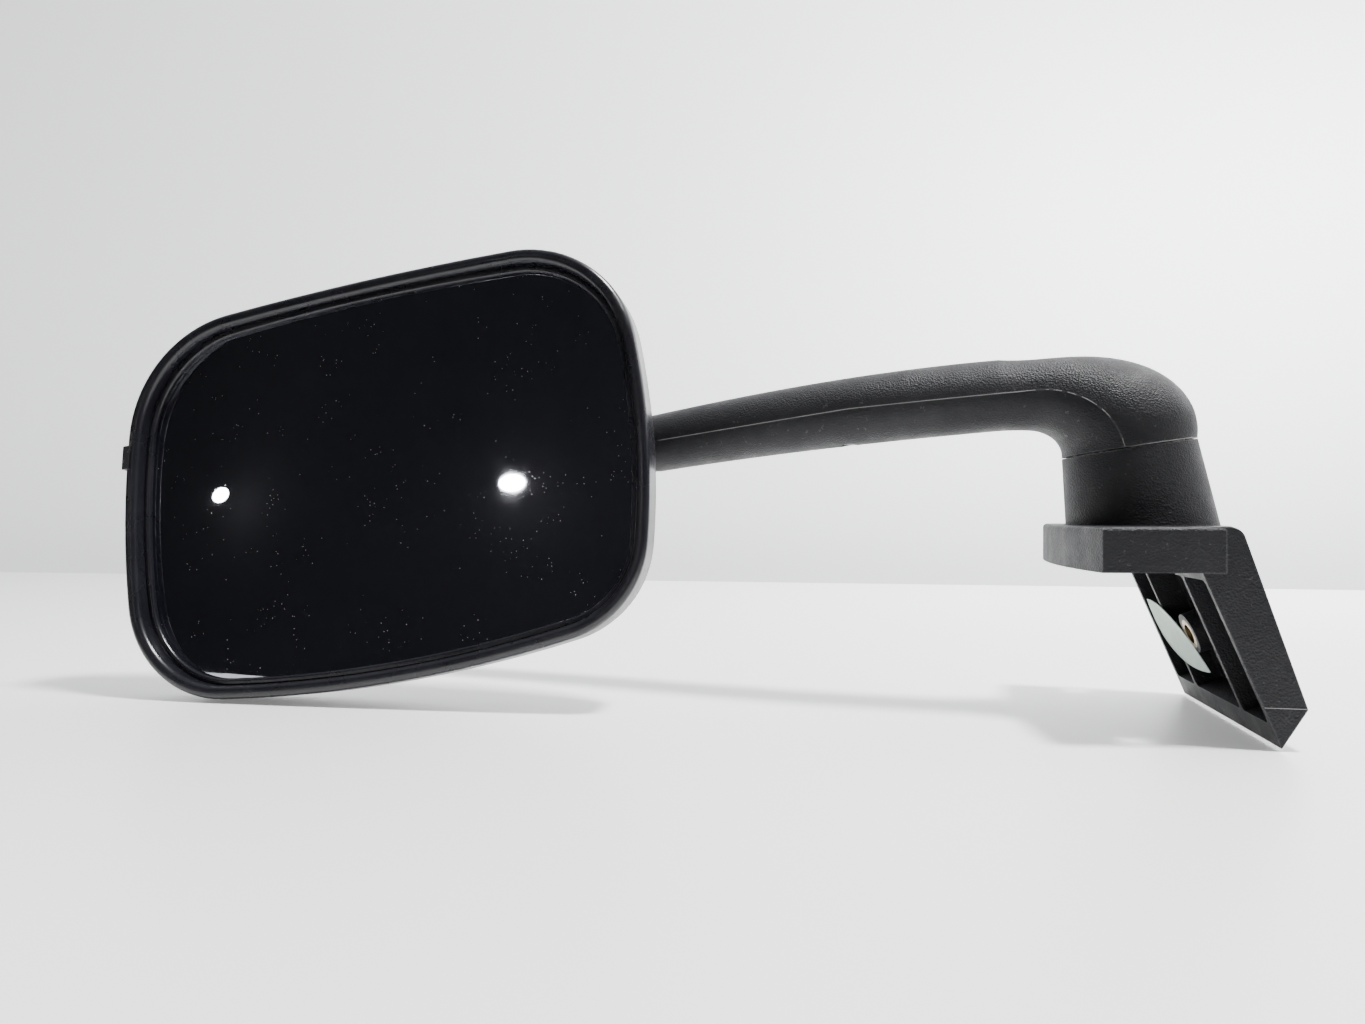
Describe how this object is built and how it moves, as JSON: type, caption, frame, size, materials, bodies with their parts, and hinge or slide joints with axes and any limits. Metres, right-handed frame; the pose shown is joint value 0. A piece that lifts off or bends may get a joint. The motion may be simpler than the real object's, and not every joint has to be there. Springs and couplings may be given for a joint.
{
  "type": "vehicle arm mirror",
  "caption": "Exterior vehicle mirror: ribbed L-bracket, folding moulded arm, and a black-rimmed convex mirror head on a ball joint.",
  "frame": {"origin": "middle of the bracket's two-hole bolt pattern, on the underside of its plate", "axes": "+Z square to the bracket plate, -Y the way the glass faces, -X along the arm towards the head"},
  "size_m": [0.4954, 0.1311, 0.2023],
  "materials": {
    "bracket_moulding": "grained matte black",
    "black_moulding": "grained matte black",
    "inner_moulding": "smooth black moulding",
    "rim_rubber": "smooth glossy black rubber",
    "mirror_glass": "convex silvered glass",
    "steel": "zinc plated",
    "brass": "turned",
    "acetal": "natural acetal",
    "foam": "closed-cell foam",
    "label_film": "pale green blank film"
  },
  "bodies": {
    "bracket": {"bracket": "bracket_moulding", "leg_insert": "brass", "blank_label": "label_film", "pivot_base": "black_moulding", "base_screws": "steel", "pivot_bolt": "steel", "thrust_disc": "acetal", "stop_pin": "steel", "lower_washer": "steel", "pivot_spring": "steel", "upper_washer": "steel", "pivot_nut": "steel"},
    "arm": {"arm_upper_shell": "black_moulding", "arm_lower_shell": "black_moulding", "arm_core": "steel", "pivot_bush": "acetal", "arm_screws": "steel", "ball_stud": "steel", "stud_washer": "steel", "stud_nut": "steel", "stud_cap": "black_moulding"},
    "ball_liner": {"ball_liner": "acetal"},
    "head": {"rear_shell": "black_moulding", "ball_socket": "inner_moulding", "socket_ring": "black_moulding", "socket_screws": "steel", "glass_carrier": "inner_moulding", "carrier_screws": "steel", "adhesive_pad": "foam", "mirror_glass": "mirror_glass", "rim_seal": "rim_rubber", "seal_clip": "rim_rubber"}
  },
  "joints": [
    {"name": "arm_fold", "type": "hinge", "parent": "bracket", "child": "arm", "pos_m": [0, 0, 0.0165], "axis": [-0.1444, 0, 0.9895], "range_deg": [-75, 75]},
    {"name": "head_pan", "type": "hinge", "parent": "arm", "child": "ball_liner", "pos_m": [-0.3236, -0.00359, 0.03592], "axis": [0, 0, 1], "range_deg": [-8, 8]},
    {"name": "head_tilt", "type": "hinge", "parent": "ball_liner", "child": "head", "pos_m": [-0.3236, -0.00359, 0.03592], "axis": [1, 0, 0], "range_deg": [-10, 10]}
  ]
}
